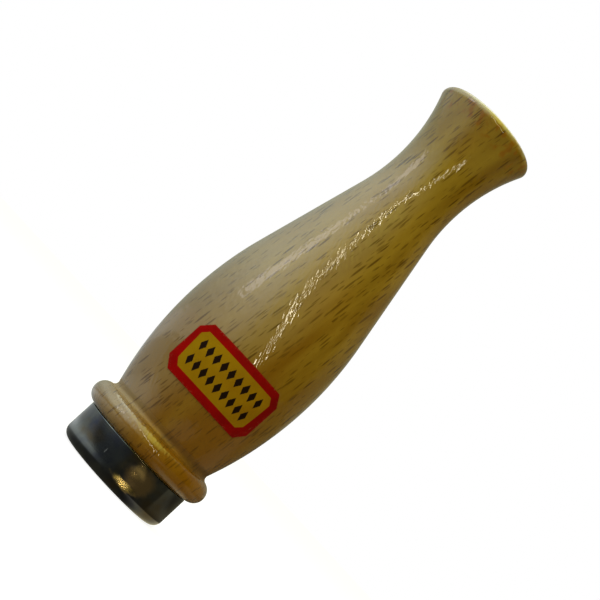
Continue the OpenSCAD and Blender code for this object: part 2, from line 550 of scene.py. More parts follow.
class BeechFigure(Pattern):
    """Figure of beech: dark ray flecks, fibres, soft streaks and patches, and the lacquer's brush strokes.

    The grain runs along Z and the rays along Y. A grain or a cell is a size across, along the ray and up.
    """

    name = "beech_figure"
    outputs = ("Flecks", "Fibres", "Streaks", "Patches", "Ripples")

    large_cell = (0.56 * MM, 5.0 * MM, 6.2 * MM)
    small_cell = (0.52 * MM, 4.0 * MM, 3.4 * MM)
    small_share = 0.72
    # A fleck's smallest and largest reach, and its even core as a share of that, and the faintest fleck
    least = 0.15
    most = 0.45
    core = 0.50
    faintest = 0.60
    # Bends in the grain, and how far they take it from one side to the other
    bend_grain = (9 * MM, 14 * MM, 16 * MM)
    wander = 0.9 * MM
    fibre_grain = (0.14 * MM, 0.3 * MM, 3.6 * MM)
    streak_grain = (3.2 * MM, 7 * MM, 48 * MM)
    streak = Span(0.3, 0.7)
    patch_grain = (10 * MM, 10 * MM, 26 * MM)
    patch = Span(0.42, 0.72)
    # Brush strokes, and the angle between them and the grain
    stroke_grain = (0.46 * MM, 0.46 * MM, 1.5 * MM)
    brush_turn = math.radians(27)

    def flecks(self, sheet: Sheet, place: Feed, cell: Triple) -> Socket:
        """Lens-shaped dashes, one at most in each cell, of differing size and depth of colour.

        Args:
            sheet: Where the nodes go.
            place: The place, in metres.
            cell: The cells' sizes.

        Returns:
            The dashes' mask.
        """
        counted = sheet.vector("DIVIDE", place, cell)
        nearest = sheet.add("ShaderNodeTexVoronoi", {"Vector": counted, "Scale": 1.0, "Randomness": 1.0})
        size, depth, _ = sheet.split(nearest.outputs["Color"])
        reach = sheet.scaled(size, self.most - self.least, self.least)
        shape = sheet.ramp(nearest.outputs["Distance"], reach, sheet.times(reach, self.core))
        return sheet.times(shape, sheet.scaled(depth, 1.0 - self.faintest, self.faintest))

    def draw(self, sheet: Sheet, place: Socket) -> dict[str, Feed]:
        """Adds the figure's nodes.

        Args:
            sheet: Where the nodes go.
            place: The place, in metres.

        Returns:
            What each output gets.
        """
        bend = sheet.centred(sheet.noise(place, self.bend_grain, detail=1.0))
        bent = sheet.vector("ADD", place, sheet.join(sheet.times(bend, self.wander), 0.0, 0.0))
        large = self.flecks(sheet, bent, self.large_cell)
        small = sheet.times(self.flecks(sheet, bent, self.small_cell), self.small_share)
        stroke = {"Vector": place, "Rotation": (0.0, self.brush_turn, 0.0)}
        slanting = sheet.add("ShaderNodeMapping", stroke).outputs[0]
        return {
            "Flecks": sheet.greater(large, small),
            "Fibres": sheet.noise(bent, self.fibre_grain, detail=3.0),
            "Streaks": sheet.share(sheet.noise(bent, self.streak_grain, detail=3.0), self.streak),
            "Patches": sheet.share(sheet.noise(bent, self.patch_grain, detail=2.0), self.patch),
            "Ripples": sheet.noise(slanting, self.stroke_grain, detail=0.0),
        }


class Mottle(Pattern):
    """Cloudy patches and fine specks, for stains, tarnish and worn print."""

    name = "mottle"
    outputs = ("Clouds", "Specks")

    cloud_size = 4.2 * MM
    cloud = Span(0.34, 0.68)
    speck_size = 0.34 * MM
    speck = Span(0.56, 0.74)

    def draw(self, sheet: Sheet, place: Socket) -> dict[str, Feed]:
        """Adds the patches' nodes.

        Args:
            sheet: Where the nodes go.
            place: The place, in metres.

        Returns:
            What each output gets.
        """
        clouds = sheet.noise(place, (self.cloud_size,) * 3, detail=4.0)
        specks = sheet.noise(place, (self.speck_size,) * 3, detail=2.0)
        return {"Clouds": sheet.share(clouds, self.cloud), "Specks": sheet.share(specks, self.speck)}


class FineLines(Pattern):
    """Fine lines along X, left by drawing, rolling, turning or rubbing, with a few deeper scratches."""

    name = "fine_lines"
    outputs = ("Lines", "Scratches")

    line_grain = (14 * MM, 0.09 * MM, 14 * MM)
    scratch_grain = (2.6 * MM, 0.12 * MM, 2.6 * MM)
    scratch = Span(0.68, 0.8)

    def draw(self, sheet: Sheet, place: Socket) -> dict[str, Feed]:
        """Adds the lines' nodes.

        Args:
            sheet: Where the nodes go.
            place: The place, in metres.

        Returns:
            What each output gets.
        """
        lines = sheet.noise(place, self.line_grain, detail=2.0)
        scratches = sheet.noise(place, self.scratch_grain, detail=1.0)
        return {"Lines": lines, "Scratches": sheet.share(scratches, self.scratch)}


@dataclass(frozen=True)
class Patterns:
    """The shared node groups."""

    figure: BeechFigure = field(default_factory=BeechFigure)
    mottle: Mottle = field(default_factory=Mottle)
    lines: FineLines = field(default_factory=FineLines)


# Finishes


@dataclass(frozen=True)
class LacqueredBeech(Finish):
    """Beech under brushed gloss lacquer: browner low down, with orange stains at the rim.

    Painted light makes it paler on the left and just right of the middle, and painted shade darkens the cove
    and the bead's lower side. The lip is pale from wear and from a painted highlight on its rounded edge.

    Places round the barrel are given as X over the radius, from -1 on the left to 1 on the right.
    """

    name = "lacquered_beech"

    pale: Colour = (0.318, 0.192, 0.020)
    deep: Colour = (0.205, 0.109, 0.008)
    # The orange colours the stains at the rim and the painted shade on the bead's lower side
    amber: Colour = (0.215, 0.082, 0.003)
    orange: Colour = (0.280, 0.108, 0.004)
    # Painted shade in the cove
    painted_cove_shade: Colour = (0.110, 0.050, 0.003)
    # The pale painted sheen on the left, low and high, and the painted light just right of the middle
    painted_sheen: Colour = (0.420, 0.335, 0.180)
    painted_sheen_high: Colour = (0.420, 0.330, 0.050)
    painted_front_light: Colour = (0.360, 0.240, 0.024)
    fleck: Colour = (0.078, 0.032, 0.001)
    # The pale lip: partly wear, partly painted highlight on its rounded edge
    worn_lip_and_highlight: Colour = (0.360, 0.310, 0.130)
    # The angle between the grain and the axis
    lean: float = math.radians(5)

    # Amber comes in patches, low on the barrel and along the fibres
    patch_amber: float = 0.32
    low_amber: Span = Span(52 * MM, 16 * MM, 0.0, 0.55)
    fibre_amber: Span = Span(0.5, 0.75, 0.0, 0.35)
    # Painted shade in the cove, broken by clouds, and orange painted shade on the bead's lower side, broken
    # by clouds, from its foot to foot_top over its middle
    cove_half: float = 1.3 * MM
    cove_cloud: Span = Span(-0.6, 1.0, 0.0, 0.6)
    foot_top: float = 1.2 * MM
    underside_shade: float = 0.7
    foot_cloud: Span = Span(-0.8, 1.0)
    # Painted light by X, just right of the middle on the front and on the back: its left and right edges,
    # and its share by height
    front_light_left: Span = Span(-0.1, 0.2)
    front_light_right: Span = Span(0.75, 0.45)
    front_light_mid: Span = Span(48 * MM, 60 * MM, 0.0, 0.22)
    front_light_high: Span = Span(82 * MM, 94 * MM, 0.0, 0.15)
    # A pale painted sheen on the left: its edge, and how far that draws back low down and high up
    sheen_edge: Span = Span(0.45, -0.05)
    sheen_low: Span = Span(45 * MM, 16 * MM, 0.0, 0.55)
    sheen_high: Span = Span(78 * MM, 92 * MM, 0.0, 0.45)
    # Its share, how that grows as the edge draws back, and the heights between which its tone changes
    sheen_share: float = 0.27
    sheen_low_more: float = 0.15
    sheen_high_more: float = 0.10
    sheen_tone: Span = Span(74 * MM, 90 * MM)
    # Orange patches below the rim's middle, and the pale lip, partly wear and partly painted highlight,
    # by the distance from that middle
    rim_below: float = 1.4 * MM
    rim_half: float = 2.4 * MM
    rim_grain: Triple = (1.5 * MM, 1.5 * MM, 2.4 * MM)
    rim_patch: Span = Span(0.50, 0.66, 0.0, 0.8)
    lip_up: Span = Span(-0.1 * MM, 0.6 * MM)
    lip_out: Span = Span(-2.4 * MM, -0.4 * MM)
    lip_cloud: Span = Span(1.2, 0.0)
    lip_share: float = 0.65
    # Flecks, by how far the wood faces the front or the back
    fleck_share: Span = Span(0.2, 0.7, 0.64, 0.87)
    # The lacquer's roughness, and its relief, which swells from the cove down to the bead
    fibre_gloss: Span = Span(0.2, 0.8, 0.05, 0.08)
    cove_matt: float = 0.45
    ripple_depth: float = 0.036 * MM
    bead_swell: Span = Span(1.0 * MM, -0.8 * MM, 1.0, 1.5)

    def make(self, patterns: Patterns, barrel: "Barrel") -> bpy.types.Material:
        """Builds the material.

        Args:
            patterns: The shared node groups.
            barrel: The barrel, whose heights place the bead's, the cove's and the rim's tones.

        Returns:
            The new material.
        """
        material, sheet, shader = self.begin()
        place = sheet.place()
        across, deep, up = sheet.split(place)
        radius = sheet.from_axis(across, deep)
        leaning = sheet.add("ShaderNodeMapping", {"Vector": place, "Rotation": (0.0, -self.lean, 0.0)})
        figure = patterns.figure.use(sheet, leaning.outputs[0])
        clouds = patterns.mottle.use(sheet, place)["Clouds"]
        cove = sheet.band(up, barrel.cove_mid.y, self.cove_half)

        colour = self.heartwood(sheet, figure, up)
        # Painted shade in the cove, broken by clouds
        stain = sheet.times(cove, sheet.share(clouds, self.cove_cloud))
        colour = sheet.mix(stain, colour, self.painted_cove_shade)
        # Orange painted shade on the bead's lower side, broken by clouds
        foot = sheet.ramp(up, barrel.bead_mid.y + self.foot_top, barrel.foot_z, 0.0, self.underside_shade)
        foot = sheet.times(foot, sheet.share(clouds, self.foot_cloud))
        colour = sheet.mix(foot, colour, self.orange)
        # Painted light just right of the middle and a pale painted sheen on the left
        colour = self.with_painted_light(sheet, colour, sheet.math("DIVIDE", across, radius), up)
        rim = sheet.band(up, barrel.rim_mid.y - self.rim_below, self.rim_half)
        patchy = sheet.noise(place, self.rim_grain, detail=1.0)
        rim = sheet.times(rim, sheet.share(patchy, self.rim_patch))
        colour = sheet.mix(rim, colour, self.orange)
        facing = sheet.math("DIVIDE", sheet.math("ABSOLUTE", deep), radius)
        flecks = sheet.times(figure["Flecks"], sheet.share(facing, self.fleck_share))
        colour = sheet.mix(flecks, colour, self.fleck)
        # The pale lip at the rim: partly wear, partly painted highlight on its rounded edge
        lip_up = sheet.share(up, self.lip_up.moved(barrel.rim_mid.y))
        lip_out = sheet.share(radius, self.lip_out.moved(barrel.rim_mid.x))
        worn_lip_and_highlight = sheet.times(sheet.times(lip_up, lip_out), sheet.share(clouds, self.lip_cloud))
        colour = sheet.mix(sheet.times(worn_lip_and_highlight, self.lip_share), colour, self.worn_lip_and_highlight)
        sheet.feed(shader.inputs["Base Color"], colour)

        gloss = sheet.share(figure["Fibres"], self.fibre_gloss)
        sheet.feed(shader.inputs["Roughness"], sheet.scaled(cove, self.cove_matt, gloss))
        swell = sheet.share(up, self.bead_swell.moved(barrel.cove_mid.y))
        height = sheet.times(sheet.centred(figure["Ripples"]), swell)
        sheet.bump(shader, height, self.ripple_depth)
        return material

    def heartwood(self, sheet: Sheet, figure: bpy.types.NodeOutputs, up: Feed) -> Socket:
        """The plain wood's colour, with its streaks, patches and fibres.

        Args:
            sheet: The material's nodes.
            figure: The outputs of the beech figure.
            up: The height.

        Returns:
            The colour.
        """
        colour = sheet.mix(figure["Streaks"], self.pale, self.deep)
        tanned = sheet.scaled(figure["Patches"], self.patch_amber, sheet.share(up, self.low_amber))
        colour = sheet.mix(tanned, colour, self.amber)
        return sheet.mix(sheet.share(figure["Fibres"], self.fibre_amber), colour, self.amber)

    def with_painted_light(self, sheet: Sheet, colour: Feed, turn: Feed, up: Feed) -> Socket:
        """Paints light just right of the middle, front and back, and a pale sheen on the left side.

        Args:
            sheet: The material's nodes.
            colour: The wood's colour so far.
            turn: The place round the barrel.
            up: The height.

        Returns:
            The new colour.
        """
        # Painted light just right of the middle, by X and by height
        front = sheet.times(sheet.share(turn, self.front_light_left), sheet.share(turn, self.front_light_right))
        by_height = sheet.plus(sheet.share(up, self.front_light_mid), sheet.share(up, self.front_light_high))
        colour = sheet.mix(sheet.times(front, by_height), colour, self.painted_front_light)
        # A pale painted sheen on the left, by X and by height
        low = sheet.share(up, self.sheen_low)
        high = sheet.share(up, self.sheen_high)
        edge = sheet.share(sheet.plus(turn, sheet.plus(low, high)), self.sheen_edge)
        most = sheet.scaled(low, self.sheen_low_more, self.sheen_share)
        most = sheet.plus(most, sheet.times(high, self.sheen_high_more))
        tone = sheet.mix(sheet.share(up, self.sheen_tone), self.painted_sheen, self.painted_sheen_high)
        return sheet.mix(sheet.times(edge, most), colour, tone)


@dataclass(frozen=True)
class BareWood(Finish):
    """Turned or split wood with no lacquer."""

    name: str
    pale: Colour
    deep: Colour
    fleck: Colour
    tool_marks: float
    fibre: Span = Span(0.45, 0.75, 0.0, 0.4)
    fleck_share: float = 0.7
    matt: Span = Span(0.2, 0.8, 0.55, 0.72)
    relief: float = 0.03 * MM

    def make(self, patterns: Patterns) -> bpy.types.Material:
        """Builds the material.

        Args:
            patterns: The shared node groups.

        Returns:
            The new material.
        """
        material, sheet, shader = self.begin()
        place = sheet.place()
        figure = patterns.figure.use(sheet, place)
        across, deep, up = sheet.split(place)
        along_outline = sheet.plus(up, sheet.from_axis(across, deep))
        rings = patterns.lines.use(sheet, sheet.join(0.0, along_outline, 0.0))
        colour = sheet.mix(figure["Streaks"], self.pale, self.deep)
        colour = sheet.mix(sheet.share(figure["Fibres"], self.fibre), colour, self.deep)
        colour = sheet.mix(sheet.times(figure["Flecks"], self.fleck_share), colour, self.fleck)
        sheet.feed(shader.inputs["Base Color"], colour)
        sheet.feed(shader.inputs["Roughness"], sheet.share(figure["Fibres"], self.matt))
        height = sheet.scaled(rings["Lines"], self.tool_marks, figure["Fibres"])
        sheet.bump(shader, height, self.relief)
        return material


@dataclass(frozen=True)
class PrintedLabel(Finish):
    """Paper printed with a red border and a yellow field that holds rows of lozenges."""

    name = "printed_label"
    flat_map = "flat_label"
    map_middle = (0.5, 0.5, 0.0)

    red: Colour = (0.360, 0.002, 0.001)
    # Darker red and yellow, for the fading in clouds and the painted shade towards the right
    shaded_faded_red: Colour = (0.170, 0.001, 0.001)
    yellow: Colour = (0.360, 0.200, 0.002)
    shaded_faded_yellow: Colour = (0.262, 0.122, 0.001)
    ink: Colour = (0.012, 0.005, 0.003)
    paper: Colour = (0.420, 0.340, 0.200)
    # The border's width above and below the field and beside it, and its fuzzy inner edge
    border: float = 1.6 * MM
    side_border: float = 1.45 * MM
    border_ragged: float = 0.08 * MM
    border_blur: float = 0.10 * MM
    print_shift: float = -0.2 * MM
    # Where the lozenges' rows lie and end, their spacing and half sizes, and the ink's edge
    row_up: float = 1.75 * MM
    row_end: float = 7.6 * MM
    pitch: float = 1.9 * MM
    lozenge_half_w: float = 0.70 * MM
    lozenge_half_h: float = 1.32 * MM
    ink_ragged: float = 0.3
    ink_edge: Span = Span(1.08, 0.92)
    # Painted shade towards the right, fading in clouds, and wear at the edge
    painted_right_shade: float = 0.6
    cloud_fade: float = 0.35
    wear: Span = Span(0.45 * MM, 0.15 * MM, 0.0, 0.15)
    fibre_size: float = 0.11 * MM
    matt: Span = Span(0.3, 0.7, 0.42, 0.55)
    sheen: float = 0.04
    relief: float = 0.006 * MM

    def make(self, patterns: Patterns, label: "LabelSizes") -> bpy.types.Material:
        """Builds the material.

        Args:
            patterns: The shared node groups.
            label: The label's sizes.

        Returns:
            The new material.
        """
        material, sheet, shader = self.begin()
        place = sheet.place()
        mottle = patterns.mottle.use(sheet, place)
        fibres = sheet.noise(place, (self.fibre_size,) * 3, detail=3.0)
        mapped = sheet.add("ShaderNodeUVMap", uv_map=self.flat_map).outputs[0]
        from_middle = sheet.vector("SUBTRACT", mapped, self.map_middle)
        across, up, _ = sheet.split(sheet.vector("MULTIPLY", from_middle, label.span))
        wide = sheet.math("ABSOLUTE", sheet.minus(across, self.print_shift))
        high = sheet.math("ABSOLUTE", up)
        inwards = self.inwards(sheet, wide, high, label)
        ragged = sheet.scaled(fibres, self.border_ragged, inwards)
        in_field = sheet.ramp(ragged, self.border, self.border + self.border_blur)

        # Painted shade towards the right, and fading in clouds
        shaded_and_faded = sheet.ramp(across, -label.half_w, label.half_w, 0.0, self.painted_right_shade)
        shaded_and_faded = sheet.scaled(mottle["Clouds"], self.cloud_fade, shaded_and_faded)
        yellow = sheet.mix(shaded_and_faded, self.yellow, self.shaded_faded_yellow)
        red = sheet.mix(shaded_and_faded, self.red, self.shaded_faded_red)
        colour = sheet.mix(in_field, red, yellow)
        colour = sheet.mix(self.ornament(sheet, wide, high, fibres), colour, self.ink)
        worn = sheet.times(mottle["Specks"], sheet.share(inwards, self.wear))
        colour = sheet.mix(worn, colour, self.paper)
        sheet.feed(shader.inputs["Base Color"], colour)
        sheet.feed(shader.inputs["Roughness"], sheet.share(fibres, self.matt))
        shader.inputs["Specular IOR Level"].default_value = self.sheen
        sheet.bump(shader, fibres, self.relief)
        return material

    def inwards(self, sheet: Sheet, wide: Feed, high: Feed, label: "LabelSizes") -> Socket:
        """The distance in from the label's edge, whose corners are cut at 45 degrees.

        At the sides it is greater by as much as the border is narrower there.

        Args:
            sheet: The material's nodes.
            wide: The distance to either side of the print's middle.
            high: The distance above or below it.
            label: The label's sizes.

        Returns:
            The distance from the nearest side or cut corner.
        """
        to_side = sheet.minus(label.half_w + self.border - self.side_border, wide)
        to_top = sheet.minus(label.half_h, high)
        to_corner = sheet.minus(sheet.plus(to_side, to_top), label.cut)
        to_corner = sheet.times(to_corner, math.sqrt(0.5))
        return sheet.math("MINIMUM", sheet.math("MINIMUM", to_side, to_top), to_corner)

    def ornament(self, sheet: Sheet, wide: Feed, high: Feed, fibres: Feed) -> Socket:
        """Two rows of upright lozenges.

        Args:
            sheet: The material's nodes.
            wide: The distance to either side of the print's middle.
            high: The distance above or below it.
            fibres: Paper fibres, which break the ink's edge.

        Returns:
            The ink's mask.
        """
        off_column = sheet.math("PINGPONG", wide, self.pitch / 2)
        off_row = sheet.math("ABSOLUTE", sheet.minus(high, self.row_up))
        off_column = sheet.math("DIVIDE", off_column, self.lozenge_half_w)
        slant = sheet.plus(off_column, sheet.math("DIVIDE", off_row, self.lozenge_half_h))
        ragged = sheet.scaled(sheet.centred(fibres), self.ink_ragged, slant)
        within = sheet.math("LESS_THAN", wide, self.row_end + self.lozenge_half_w)
        return sheet.times(sheet.share(ragged, self.ink_edge), within)


@dataclass(frozen=True)
class Spot:
    """An oval mark on a turned wall, by the azimuth and the height of its middle."""

    azimuth: float
    up: float
    half_w: float
    half_h: float

    def mask(self, sheet: Sheet, along: Feed, up: Feed, wall_r: float, ragged: Feed = 0.0) -> Socket:
        """The mark's mask.

        Args:
            sheet: The material's nodes.
            along: The distance round the wall from azimuth 0.
            up: The height.
            wall_r: The wall's radius.
            ragged: What breaks the mark's edge.

        Returns:
            The mask, 1 in the middle of the mark.
        """
        aside = sheet.minus(along, self.azimuth * wall_r)
        return sheet.spot(aside, sheet.minus(up, self.up), self.half_w, self.half_h, ragged)


@dataclass(frozen=True)
class AgedPlate(Finish):
    """Polished plate gone dark with age, with painted golden glints and a painted bronze reflection
    at a dent in front, and a nick beside it whose bright colour is a painted highlight.
    """

    name = "aged_plate"

    dark: Colour = (0.062, 0.067, 0.094)
    grey: Colour = (0.140, 0.147, 0.142)
    brown: Colour = (0.112, 0.090, 0.058)
    # The brass and bronze colour the painted golden glints and the painted bronze reflection
    brass: Colour = (0.760, 0.560, 0.230)
    painted_bronze_reflection: Colour = (0.400, 0.280, 0.140)
    # Bare metal of the scratches, and the painted highlight of the nick
    bare_metal_and_highlight: Colour = (0.600, 0.600, 0.580)
    # Painted golden glints, low and high, and a painted bronze reflection beside them
    painted_glint_low: Spot = Spot(math.radians(11), 2.4 * MM, 2.9 * MM, 0.95 * MM)
    painted_glint_high: Spot = Spot(math.radians(12.5), 6.0 * MM, 1.7 * MM, 1.9 * MM)
    painted_reflection_side: Spot = Spot(math.radians(17), 4.6 * MM, 3.2 * MM, 3.2 * MM)
    dent: Spot = Spot(math.radians(12), 4.2 * MM, 3.6 * MM, 2.7 * MM)
    # A nick with a real relief, whose bright colour is a painted highlight
    highlight_nick: Spot = Spot(math.radians(-19.3), 4.3 * MM, 0.12 * MM, 0.60 * MM)
    stain_grain: Triple = (7 * MM, 7 * MM, 5 * MM)
    stain: Span = Span(0.5, 0.72)
    # How far the painted golden glints and the painted bronze reflection show, and how clouds and streaks
    # break their edges
    painted_reflection_share: float = 0.85
    painted_glint_high_share: float = 0.35
    cloud_edge: float = 0.5
    cloud_shift: float = -0.35
    streak_grain: Triple = (1.6 * MM, 1.6 * MM, 0.5 * MM)
    streak_shift: float = -0.55
    scratch_share: float = 0.05
    # The plate's roughness, and what clouds, the painted glints and lines add to it
    gloss: float = 0.06
    cloud_matt: float = 0.04
    glint_matt: float = 0.15
    line_matt: float = 0.04
    # The relief's depth, and the heights of its marks in such depths
    relief: float = 0.003 * MM
    line_height: float = 0.3
    nick_height: float = -2.0
    dent_height: float = -22.0

    def make(self, patterns: Patterns, cap_r: float) -> bpy.types.Material:
        """Builds the material.

        Args:
            patterns: The shared node groups.
            cap_r: The cap's outer radius.

        Returns:
            The new material.
        """
        material, sheet, shader = self.begin()
        place = sheet.place()
        across, deep, up = sheet.split(place)
        mottle = patterns.mottle.use(sheet, place)
        azimuth = sheet.math("ARCTAN2", across, sheet.times(deep, -1.0))
        along = sheet.times(azimuth, cap_r)
        along_outline = sheet.plus(up, sheet.from_axis(across, deep))
        lines = patterns.lines.use(sheet, sheet.join(along, along_outline, 0.0))

        colour = sheet.mix(mottle["Clouds"], self.grey, self.dark)
        stain = sheet.share(sheet.noise(place, self.stain_grain, detail=3.0), self.stain)
        colour = sheet.mix(stain, colour, self.brown)
        ragged = sheet.scaled(mottle["Clouds"], self.cloud_edge, self.cloud_shift)
        # A painted bronze reflection
        side = self.painted_reflection_side.mask(sheet, along, up, cap_r, ragged)
        colour = sheet.mix(sheet.times(side, self.painted_reflection_share), colour, self.painted_bronze_reflection)
        # Painted golden glints, low and high
        painted_glint_high = self.painted_glint_high.mask(sheet, along, up, cap_r, ragged)
        streaky = sheet.plus(sheet.noise(place, self.streak_grain, detail=1.0), self.streak_shift)
        painted_glint_low = self.painted_glint_low.mask(sheet, along, up, cap_r, sheet.plus(ragged, streaky))
        painted_glint = sheet.greater(sheet.times(painted_glint_high, self.painted_glint_high_share), painted_glint_low)
        colour = sheet.mix(sheet.times(painted_glint, self.painted_reflection_share), colour, self.brass)
        # A nick whose bright colour is a painted highlight, and fine scratches of bare metal
        highlight_nick = self.highlight_nick.mask(sheet, along, up, cap_r)
        bare_and_highlight = sheet.greater(highlight_nick, sheet.times(lines["Scratches"], self.scratch_share))
        colour = sheet.mix(bare_and_highlight, colour, self.bare_metal_and_highlight)
        sheet.feed(shader.inputs["Base Color"], colour)

        shader.inputs["Metallic"].default_value = 1.0
        worn = sheet.scaled(mottle["Clouds"], self.cloud_matt, self.gloss)
        worn = sheet.scaled(painted_glint, self.glint_matt, worn)
        sheet.feed(shader.inputs["Roughness"], sheet.scaled(lines["Lines"], self.line_matt, worn))
        height = sheet.scaled(highlight_nick, self.nick_height, sheet.times(lines["Lines"], self.line_height))
        dent = self.dent.mask(sheet, along, up, cap_r)
        sheet.bump(shader, sheet.scaled(dent, self.dent_height, height), self.relief)
        return material


@dataclass(frozen=True)
class SheetCork(Finish):
    """Cork with darker grains and small pits."""

    name = "sheet_cork"

    pale: Colour = (0.40, 0.235, 0.105)
    deep: Colour = (0.25, 0.125, 0.048)
    pit: Colour = (0.055, 0.024, 0.010)
    grain: float = 0.9 * MM
    cloud_share: float = 0.4
    pit_grain: Triple = (0.5 * MM, 0.5 * MM, 1.1 * MM)
    pitted: Span = Span(0.62, 0.70)
    matt: Span = Span(0.0, 1.0, 0.72, 0.9)
    # The pits' depth, and the grains' height as a share of it
    relief: float = 0.12 * MM
    grain_height: float = 0.25

    def make(self, patterns: Patterns) -> bpy.types.Material:
        """Builds the material.

        Args:
            patterns: The shared node groups.

        Returns:
            The new material.
        """
        material, sheet, shader = self.begin()
        place = sheet.place()
        mottle = patterns.mottle.use(sheet, place)
        counted = sheet.vector("DIVIDE", place, (self.grain,) * 3)
        cells = sheet.add("ShaderNodeTexVoronoi", {"Vector": counted, "Scale": 1.0})
        tone, _, _ = sheet.split(cells.outputs["Color"])
        pits = sheet.share(sheet.noise(place, self.pit_grain, detail=2.0), self.pitted)
        colour = sheet.mix(tone, self.pale, self.deep)
        colour = sheet.mix(sheet.times(mottle["Clouds"], self.cloud_share), colour, self.deep)
        colour = sheet.mix(pits, colour, self.pit)
        sheet.feed(shader.inputs["Base Color"], colour)
        sheet.feed(shader.inputs["Roughness"], sheet.share(tone, self.matt))
        sheet.bump(shader, sheet.minus(sheet.times(tone, self.grain_height), pits), self.relief)
        return material


@dataclass(frozen=True)
class Brass(Finish):
    """Brass with fine lines along the strip and some tarnish."""

    name: str
    clean: Colour
    tarnished: Colour
    gloss: float
    cloud_share: float = 0.7
    speck_share: float = 0.3
    cloud_matt: float = 0.12
    line_matt: float = 0.14
    relief: float = 0.004 * MM

    def make(self, patterns: Patterns) -> bpy.types.Material:
        """Builds the material.

        Args:
            patterns: The shared node groups.

        Returns:
            The new material.
        """
        material, sheet, shader = self.begin()
        place = sheet.place()
        across, deep, up = sheet.split(place)
        mottle = patterns.mottle.use(sheet, place)
        lines = patterns.lines.use(sheet, sheet.join(up, sheet.plus(across, deep), 0.0))["Lines"]
        clouds = sheet.times(mottle["Clouds"], self.cloud_share)
        colour = sheet.mix(clouds, self.clean, self.tarnished)
        specks = sheet.times(mottle["Specks"], self.speck_share)
        colour = sheet.mix(specks, colour, self.tarnished)
        sheet.feed(shader.inputs["Base Color"], colour)
        shader.inputs["Metallic"].default_value = 1.0
        worn = sheet.scaled(mottle["Clouds"], self.cloud_matt, self.gloss)
        sheet.feed(shader.inputs["Roughness"], sheet.scaled(lines, self.line_matt, worn))
        sheet.bump(shader, lines, self.relief)
        return material


# Sub-assemblies


@dataclass
class LabelSizes:
    """The label, as a flat sticker with cut corners that is bent round the bulb."""

    width: float = 22.3 * MM
    height: float = 11.6 * MM
    cut: float = 2.1 * MM
    thick: float = 0.15 * MM
    lift: float = 0.02 * MM
    turn: float = math.radians(5)
    # What the strip that it is cut from has over on every side
    margin: float = 1.5 * MM

    def __post_init__(self) -> None:
        """Works out the halves that the print is measured from."""
        self.half_w = self.width / 2
        self.half_h = self.height / 2
        self.span = (self.width, self.height, 0.0)


